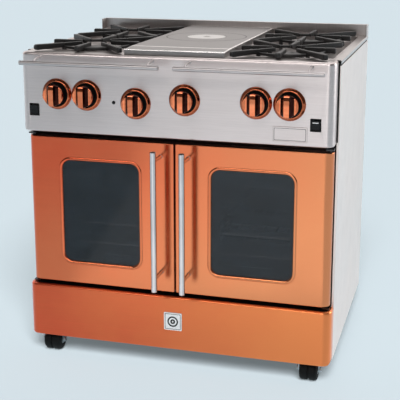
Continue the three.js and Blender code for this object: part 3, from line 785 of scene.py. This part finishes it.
def burner(node, ports, name):
    """A burner head: flange, throat, a ring of flame ports and a slightly domed cap."""
    box = extent(node)
    cx, cy, r = box.mid.x, box.mid.y, box.size.x / 2
    high = box.z1
    tall = (high - box.z0) * 0.5
    steps = ports * 4

    def ring(radius, z, notch=0.0):
        return [(cx + (radius - notch * (i % 4 < 2)) * cos(2 * pi * i / steps),
                 cy + (radius - notch * (i % 4 < 2)) * sin(2 * pi * i / steps), z)
                for i in range(steps)]

    shape = Shape().loft([
        ring(r * 0.48, box.z0), ring(r * 0.52, high - tall), ring(r, high - tall),
        ring(r, high - tall * 0.62), ring(r * 0.9, high - tall * 0.6, r * 0.05),
        ring(r * 0.9, high - tall * 0.38, r * 0.05), ring(r * 0.97, high - tall * 0.36),
        ring(r * 0.98, high - tall * 0.16), ring(r * 0.92, high - tall * 0.08),
        ring(r * 0.5, high - 0.6), ring(r * 0.1, high)], caps=(True, True))
    piece(name, shape, IRON, node, smooth=35)


GRATE_RING = 105


def grate_bar(shape, cx, cy, dx, dy, z):
    """A cast bar from a thin inner tip to a blunt outer end, narrowed where it meets the ring.

    Its underside deepens outwards.
    """
    reach, tip = hypot(dx, dy), 45
    turn = atan2(dy, dx)
    seam = (GRATE_RING - tip) / (reach - tip)
    stations = [(0, 0.35), (0.012, 0.75), (0.03, 1), (seam - 0.02, 1), (seam - 0.01, 0.84),
                (seam + 0.01, 0.84), (seam + 0.02, 1), (0.955, 1), (0.985, 0.8), (1, 0.45)]
    loops = []
    for t, scale in stations:
        along = tip + (reach - tip) * t
        depth = 11 + 5.5 * t
        half, low = (3.2 + 4.6 * t) * scale, -depth * scale / 2
        middle = z - depth / 2
        section = rounded_rect(-half, half, low, -low, min(half, -low) * 0.35, 3)
        loops.append([(cx + along * cos(turn) - u * sin(turn), cy + along * sin(turn) + u * cos(turn),
                       middle + v) for u, v in section])
    shape.loft(loops, caps=(True, True))


def grate(node):
    """Eight bars that point inwards, joined by a ring on four feet."""
    box = extent(node)
    cx, cy, z = box.mid.x, box.mid.y, box.z1
    hx, hy = box.size.x / 2, box.size.y / 2
    shape = Shape()
    for sx in (-1, 0, 1):
        for sy in (-1, 0, 1):
            if sx or sy:
                reach = 0.965 if sx and sy else 0.995
                grate_bar(shape, cx, cy, sx * hx * reach, sy * hy * reach, z)
    ring, low = GRATE_RING, top.z1 + 1.5
    section = rounded_rect(-4.5, 4.5, 0, 8, 2, 2)
    loops = [[(cx + (ring + u) * cos(a), cy + (ring + u) * sin(a), low + v) for u, v in section]
             for a in (2 * pi * i / 64 for i in range(64))]
    shape.loft(loops + [loops[0]])
    slope = atan2(hy, hx)
    for sx, sy in ((1, 1), (-1, 1), (-1, -1), (1, -1)):
        fx, fy = cx + sx * ring * cos(slope), cy + sy * ring * sin(slope)
        shape.block(fx - 5.5, fx + 5.5, fy - 5.5, fy + 5.5, box.z0, low + 5, 2)
    piece(node + "_casting", shape, IRON, node, smooth=50)


french_top()
burner("french_top_burner", 30, "french_top_burner_head")
for i in range(1, 5):
    burner(f"burner_{i}", 24, f"burner_{i}_head")
    grate(f"grate_{i}")

# Rails and controls


def towel_rail(side_name, side):
    """A satin rail with curved brackets that rise to the panel's upper edge."""
    box = extent(side_name + "_towel_rail")
    radius = 6.5
    y, z = box.y0 + radius, box.z0 + radius
    shape = Shape().tube([(box.x0, y, z), (box.mid.x, y, z), (box.x1, y, z)], radius, 24, 0.25)
    inner = min(abs(box.x0), abs(box.x1))
    high = top.z1 - 12
    for x in (side * (inner + 33), side * (inner + 367)):
        start, bend, end = (Vector(p) for p in ((x, FRONT - 0.3, high), (x, y + 2, high), (x, y, z)))
        path = [start * (1 - t) ** 2 + bend * (2 * t * (1 - t)) + end * t ** 2
                for t in (k / 12 for k in range(13))]
        shape.tube(path, 2.8, 16, 0.1)
        foot = [(0, 0.2), (5, 0.2), (5, 0.8), (4.2, 1.4), (2.8, 1.8)]
        shape.revolve(foot, facing(x, high, FRONT), 24)
    piece(side_name + "_rail", shape, SHADED_RAIL_STEEL, side_name + "_towel_rail")


def bezel(i):
    """A deep bevelled ring round a black dish."""
    node = f"knob_bezel_{i}"
    cap = extent(f"knob_{i}")
    place = facing(cap.mid.x, cap.mid.z, FRONT)
    ring = [(44, 0.3), (44.3, 0.8), (44.3, 1.7), (43.6, 2.8), (39.8, 7.6), (38.6, 8.8), (37, 9.4),
            (35.4, 9.4), (34.4, 8.8), (33.8, 7.6), (33.4, 5), (33.4, 0.3)]
    piece(f"bezel_ring_{i}", Shape().revolve(ring, place, 72), SHADED_RING_COPPER, node)
    dish = [(33.2, 0.4), (33.2, 2.6), (31, 3.2), (12, 3.2), (9, 2.6), (9, 0.4)]
    piece(f"bezel_dish_{i}", Shape().revolve(dish, place, 48), SKIRT, node, replace=False)


def knob(i):
    """A copper cap with an upright grip between two cut-back cheeks, on a black skirt; its hollows get
    painted shade.
    """
    node = f"knob_{i}"
    box = extent(node)
    x, z = box.mid.x, box.mid.z
    r, rear, reach = 30, FRONT - box.y1, FRONT - box.y0
    split, grip, bright_cheek, scoop, deep = reach - 19, 7.2, 18.2, 20, 14.5
    stations = [r * sin(radians(a)) for a in (-89.5, -85, -78, -70, -60, -50, -42)]
    stations += [-bright_cheek, -15.5, -12.5, -11, -9.8, -8.8, -8, -grip, -grip + 1.2, 0]
    stations += [-u for u in reversed(stations[:-1])]
    shoulder = [(1, None), (1, 3.0), (0.985, 1.2), (0.95, 0.3), (0.88, 0), (0.7, 0), (0.4, 0)]
    across = [(-share, drop) for share, drop in shoulder] + [(0, 0)] + shoulder[::-1]
    loops = []
    for u in stations:
        inward = min(1.0, max(0.0, (abs(u) - grip) / (scoop - grip)))
        outward = max(0.0, abs(u) - scoop) / (r - scoop)
        fall = deep * sin(inward * pi / 2) ** 0.8 - 2.2 * outward ** 2
        half = sqrt(max(0.0, r * r - u * u)) + 0.05
        loop = []
        for share, drop in across:
            v = half * share
            crown = 3.2 * max(0.0, abs(v) / r - 0.55) ** 1.5 * (1 - inward)
            height = split if drop is None else reach - fall - drop - 3 * crown
            loop.append((x + u, FRONT - max(split, height), z + v))
        loops.append(loop)
    last = len(stations) - 1
    edges = [k for k, u in enumerate(stations) if abs(u) in (grip, bright_cheek)]
    # The hollows between the grip and the cheeks take the near-black copper: painted shade.
    bright, dark = Shape(), Shape()
    for k, (start, end) in enumerate(zip([0, *edges], [*edges, last])):
        (dark if k % 2 else bright).loft(loops[start:end + 1], caps=(start == 0, end == last))
    piece(f"knob_cap_{i}", bright, BRIGHT_COPPER, node, smooth=50, closed=False)
    piece(f"knob_painted_shade_{i}", dark, PAINTED_SHADE_COPPER, node, replace=False, smooth=50, closed=False)
    skirt = [(9, rear), (28.6, rear), (29.2, rear + 0.8), (28.4, split - 2.5), (27.6, split - 0.2),
             (9, split - 0.2)]
    piece(f"knob_skirt_{i}", Shape().revolve(skirt, facing(x, z, FRONT), 64), SKIRT, node,
          replace=False)


def rocker(node, striped):
    """A rocker with a shallow valley between its halves, in a thin black frame."""
    box = extent(node)
    eased(node, PLASTIC, 1.0, 25, node + "_paddle")
    x, z = box.mid.x, box.mid.z
    half, tall = ROCKER_FRAME.half, ROCKER_FRAME.tall
    rim = SimpleNamespace(x0=x - half, x1=x + half, z0=z - tall, z1=z + tall)
    relief = [(2.2, 1.8), (2.2, -1.2), (1.8, -1.7), (0.6, -1.7), (0, -1.2), (0, -0.2)]
    piece(node + "_frame", Shape().loft(upright_rects(rim, FRONT, 1.5, 3, relief)), PLASTIC,
          "control_panel", replace=False, closed=False)
    if striped:
        stripe = Shape().block(x - 8, x + 8, box.y0 - 0.2, box.y0 + 1.2, z + 6.2, z + 8.6, 0.3)
        piece(node + "_stripe", stripe, INK, node, replace=False)


def lamp():
    """A small black lens in a stepped collar."""
    box = extent("indicator_lamp")
    r = box.size.x / 2
    profile = [(r, 0.3), (r, 1.2), (r - 0.6, 1.8), (r - 1.6, 1.8), (r - 2, 2.4), (r - 3.2, 3.3),
               (0.1, 3.6)]
    shape = Shape().revolve(profile, facing(box.mid.x, box.mid.z, FRONT), 24)
    piece("lamp_lens", shape, PLASTIC, "indicator_lamp")


def nameplate():
    """A plain embossed plate with a raised border and no lettering."""
    box = extent("nameplate")
    relief = [(0, 0), (0, -1.0), (0.4, -1.5), (2.0, -1.5), (2.4, -0.6), (3.2, -0.4)]
    blank = Shape().loft(upright_rects(box, box.y1, 3, 4, relief), caps=(False, True))
    piece("plain_nameplate", blank, STEEL, "nameplate", closed=False, smooth=25)
    relief = [(4.2, 1.2), (4.3, 0.9), (5.2, 0.9), (5.3, 1.2)]
    rule = Shape().loft(upright_rects(box, box.y0, 2, 4, relief))
    piece("nameplate_rule", rule, PLASTIC, "nameplate", replace=False, closed=False)


def badge():
    """A white enamel square with a thin black border and a plain ring."""
    box = extent("badge")
    relief = [(0, 0), (0, -2.0), (0.5, -2.6), (1.2, -2.8)]
    blank = Shape().loft(upright_rects(box, box.y1, 3, 4, relief), caps=(True, True))
    piece("badge_plate", blank, WHITE, "badge")
    relief = [(3.2, 0.3), (3.4, 0.0), (4.6, 0.0), (4.8, 0.3)]
    marks = Shape().loft(upright_rects(box, box.y0, 2, 3, relief))
    place = facing(box.mid.x, box.mid.z, box.y0 + 0.2)
    for r, w in ((14, 2.2), (5, 2.4)):
        marks.revolve([(r + w, -0.1), (r + w - 0.2, 0.2), (r - w + 0.2, 0.2), (r - w, -0.1)],
                      place, 40)
    piece("badge_marks", marks, PLASTIC, "badge", replace=False, closed=False)


for side_name, side in SIDES:
    towel_rail(side_name, side)
for i in range(1, 7):
    bezel(i)
    knob(i)
rocker("oven_light_rocker", False)
rocker("oven_fan_rocker", True)
lamp()
nameplate()
badge()

# Casters, racks, back


def caster_wheel(i):
    """A twin-tread wheel on a hub, with a groove between the treads."""
    box = extent(f"caster_wheel_{i}")
    cx, cy, half = box.mid.x, box.mid.y, box.size.x / 2
    r = 32

    def place(u, v, h):
        return (cx + h, cy + u, r + v)

    tyre = [(14, -half), (r - 9, -half), (r - 4, -half + 1.4), (r - 1, -half + 5), (r - 0.05, -half + 9),
            (r - 0.05, -5), (r - 1, -2.6), (r - 4, -1.4), (r - 4, 1.4), (r - 1, 2.6), (r - 0.05, 5),
            (r - 0.05, half - 9), (r - 1, half - 5), (r - 4, half - 1.4), (r - 9, half), (14, half)]
    piece(f"caster_tyre_{i}", Shape().revolve(tyre, place, 64), RUBBER, f"caster_wheel_{i}")
    hub = [(4.6, -half + 0.5), (13, -half + 0.5), (13.9, -half + 2), (13.9, half - 2),
           (13, half - 0.5), (4.6, half - 0.5)]
    piece(f"caster_hub_{i}", Shape().revolve(hub, place, 40), ZINC, f"caster_wheel_{i}",
          replace=False)


def oven_rack(i):
    """A round-wire rack with a heavier frame."""
    box = extent(f"oven_rack_{i}")
    z, bar = box.mid.z, 4
    x0, x1, y0, y1 = box.x0 + bar, box.x1 - bar, box.y0 + bar, box.y1 - bar
    shape = Shape()
    around = [(x, y, z) for x, y in rounded_rect(x0, x1, y0, y1, 12, 4)]
    loops = []
    count = len(around)
    for k in range(count):
        ahead = (Vector(around[(k + 1) % count]) - Vector(around[k - 1])).normalized()
        side = ahead.cross(Vector((0, 0, 1)))
        loops.append([Vector(around[k]) + (side * cos(t) + Vector((0, 0, 1)) * sin(t)) * (bar - 0.2)
                      for t in (2 * pi * j / 10 for j in range(10))])
    shape.loft(loops + [loops[0]])
    for k in range(1, 20):
        x = x0 + (x1 - x0) * k / 20
        shape.tube([(x, y0, z + 2), (x, box.mid.y, z + 2), (x, y1, z + 2)], 1.7, 8)
    for y in (y0 + (y1 - y0) / 3, y0 + 2 * (y1 - y0) / 3):
        shape.tube([(x0, y, z - 1), (0, y, z - 1), (x1, y, z - 1)], 2.4, 8)
    piece(f"rack_wires_{i}", shape, BAR_STEEL, f"oven_rack_{i}")


def back_sheet():
    """The rear sheet with pressed stiffening channels, its two holes and a row of screws."""
    box = extent("back_panel")
    y, edge = box.y1 - 1.2, 2
    x0, x1, z0, z1 = box.x0 + 0.5, box.x1 - 0.5, box.z0 + 0.5, box.z1 - 0.5

    def seen(x, z):
        return (-x, y, z)

    shape = Shape()
    holes = []
    for z in (box.z0 + 190, box.mid.z, box.z1 - 190):
        for side in (-1, 1):
            a, b = sorted((side * 40, side * (x1 - 60)))
            loops = []
            for grow, depth in ((0, 0), (-1.5, 0.6), (-3.5, 2.6), (-6, 3.0)):
                loop = rounded_rect(a - grow, b + grow, z - 11 - grow, z + 11 + grow, 11 + grow, 6)
                loops.append([(-x, y - depth, height) for x, height in loop])
                if not depth:
                    holes.append(loop)
            shape.loft(loops, caps=(False, True))
    for x, z, r in ((-SUPPLY.x, SUPPLY.z, 14), (-LEAD.x, LEAD.z, 8)):
        ring = circle(x, z, r, 24)
        holes.append(ring)
        shape.loft([[(-u, y, v) for u, v in ring], [(-u, y - 2, v) for u, v in ring]])
    outline = rounded_rect(x0 + edge, x1 - edge, z0 + edge, z1 - edge, 3, 4)
    shape.plate(outline, holes, seen)
    rim = [[(-x, y + dy, z) for x, z in rounded_rect(x0 + i, x1 - i, z0 + i, z1 - i, 3 + edge - i, 4)]
           for i, dy in ((edge, 0), (edge * 0.4, -0.5), (0, -edge), (0, -12))]
    shape.loft(rim)
    piece("back_sheet", shape, GALVANIZED, "back_panel", closed=False, smooth=35)
    trim = Shape()
    for z in (z0 + 14, z0 + 275, z0 + 545, z1 - 14):
        for x in (x0 + 14, x0 + 235, 0, x1 - 235, x1 - 14):
            trim.revolve([(4.6, 0.0), (4.6, 0.4), (3.8, 0.9), (2, 1.1), (0.1, 1.15)],
                         lambda u, v, h, x=x, z=z: (x - u, y + h, z + v), 14)
    piece("back_screws", trim, ZINC, "back_panel", replace=False)
    gland = Shape().revolve([(4.5, -3), (4.5, 1.0), (5.2, 1.15), (8.6, 1.15), (9.4, 0.4), (9.4, 0)],
                            lambda u, v, h: (LEAD.x - u, y + h, LEAD.z + v), 28)
    piece("lead_gland", gland, PLASTIC, "back_panel", replace=False)


SUPPLY = SimpleNamespace(x=428, z=800)
LEAD = SimpleNamespace(x=-380, z=140)
for i in range(1, 5):
    caster_wheel(i)
    eased(f"caster_fork_{i}", ZINC, 0.5, 50)
for i in range(1, 4):
    oven_rack(i)
back_sheet()

# Stage, light and camera


def turned_to(direction):
    """The rotation of a light that shines along a direction."""
    return direction.to_track_quat("-Z", "Y").to_euler()


def area_light(name, place, aim, size, energy, tint=(1, 1, 1)):
    """A softbox that lights the range but isn't seen itself, and leaves the floor evenly lit."""
    data = bpy.data.lights.new(name, "AREA")
    data.shape = "RECTANGLE"
    data.size, data.size_y = size
    data.energy = energy
    data.color = tint
    light = linked(name, data)
    light.location = place
    light.rotation_euler = turned_to(Vector(aim) - Vector(place))
    light.visible_camera = False
    light.light_linking.receiver_collection = SPARED


def floor():
    """The plain pale floor. It returns the collection that keeps the softboxes off it."""
    mesh = bpy.data.meshes.new("studio_floor")
    reach = 60
    mesh.from_pydata([(-reach, -reach, 0), (reach, -reach, 0), (reach, reach, 0), (-reach, reach, 0)],
                     [], [(0, 1, 2, 3)])
    paint = Nodes("studio_floor_paint", colour("798286"), 0.9, Specular_IOR_Level=0.0,
                  Emission_Color=colour("D6E4EA"), Emission_Strength=0.2)
    mesh.materials.append(paint.material)
    ground = linked("studio_floor", mesh)
    spared = bpy.data.collections.new("spared_by_the_softboxes")
    spared.objects.link(ground)
    spared.collection_objects[0].light_linking.link_state = "EXCLUDE"
    floor_sun(ground)
    return spared


def floor_sun(ground):
    """An even light for the floor alone, which lays the range's soft shadow under and behind it."""
    data = bpy.data.lights.new("floor_sun", "SUN")
    data.energy = 11.1
    data.angle = radians(32)
    data.color = (1, 0.98, 0.986)
    light = linked("floor_sun", data)
    light.rotation_euler = turned_to(Vector((-0.33, 0.94, -1.035)))
    lit = bpy.data.collections.new("lit_by_the_sun")
    lit.objects.link(ground)
    light.light_linking.receiver_collection = lit


def backdrop():
    """A far dome in the floor's colour. It is seen behind the floor, but lights nothing."""
    reach = 55000
    profile = arc(0, 0, reach, 0, 90, 16)
    shape = Shape().revolve(profile, lambda u, v, h: (u, v, h), 48)
    mesh = bpy.data.meshes.new("studio_backdrop")
    mesh.from_pydata([v * MM for v in shape.verts], [], shape.faces)
    paint = Nodes("studio_backdrop_paint", colour("000000"), 1.0, Specular_IOR_Level=0.0,
                  Emission_Color=colour("D5E3E9"), Emission_Strength=1.0)
    mesh.materials.append(paint.material)
    dome = linked("studio_backdrop", mesh)
    dome.visible_diffuse = False
    dome.visible_glossy = False
    dome.visible_transmission = False
    dome.visible_shadow = False


def world():
    """A soft studio: dim in front of the range and overhead, bright behind and to the right."""
    made = bpy.data.worlds.new("studio_world")
    bpy.context.scene.world = made
    nodes = Tree(made)
    place = nodes.add("TexCoord").outputs["Generated"]

    def along(direction, low, high, from_low, from_high):
        axis = nodes.add("VectorMath")
        axis.operation = "DOT_PRODUCT"
        nodes.feed(axis.inputs[0], place)
        nodes.feed(axis.inputs[1], Vector(direction).normalized())
        span = nodes.add("MapRange", Value=axis.outputs["Value"], From_Min=from_low,
                         From_Max=from_high, To_Min=low, To_Max=high)
        span.interpolation_type = "SMOOTHSTEP"
        return span.outputs["Result"]

    around = along((-0.22, 0.97, 0), 0.08, 0.95, -0.35, 0.7)
    height = along((0, 0, 1), 0.0, 1.0, 0.5, 0.95)
    blend = nodes.add("Mix", Factor=height, A=around, B=0.07)
    nodes.fill(nodes.tree.nodes["Background"], Strength=blend.outputs["Result"],
               Color=colour("FFFAF7"))


def camera():
    """Above the range and to its right, with some lens shift to keep the uprights upright."""
    place = (0.791, -2.845, 1.261)
    yaw, pitch = 0.2743, 0.2241
    forward = Vector((-sin(yaw) * cos(pitch), cos(yaw) * cos(pitch), -sin(pitch)))
    right = Vector((cos(yaw), sin(yaw), 0))
    up = right.cross(forward)
    data = bpy.data.cameras.new("camera")
    data.sensor_width = 36
    data.lens = 87.7
    data.shift_y = -0.125
    eye = linked("camera", data)
    turn = Matrix((right, up, -forward)).transposed().to_4x4()
    eye.matrix_world = Matrix.Translation(place) @ turn
    bpy.context.scene.camera = eye


SPARED = floor()
backdrop()
world()
camera()
area_light("front_box", (0.75, -3.5, 1.3), (0.2, -0.3, 0.5), (1.5, 1.6), 11, (1, 0.97, 0.95))
# This one lies in front of the range and faces up, as a bright floor would.
area_light("floor_card", (-0.24, -2.9, 0.03), (-0.2391, -2.8951, 1.03), (1.34, 4.2), 8.2,
           (1, 0.96, 0.93))
area_light("high_box", (-0.1, -3.0, 3.3), (-0.1, -0.3, 0.8), (3.8, 1.1), 60, (1, 0.98, 0.97))
area_light("right_box", (3.2, 1.6, 1.8), (0.4, 0, 0.6), (2.0, 2.0), 50)
area_light("top_box", (0.3, 0.9, 3.2), (0, 0, 0.9), (2.4, 1.6), 26)
bpy.context.scene.view_settings.view_transform = "Standard"
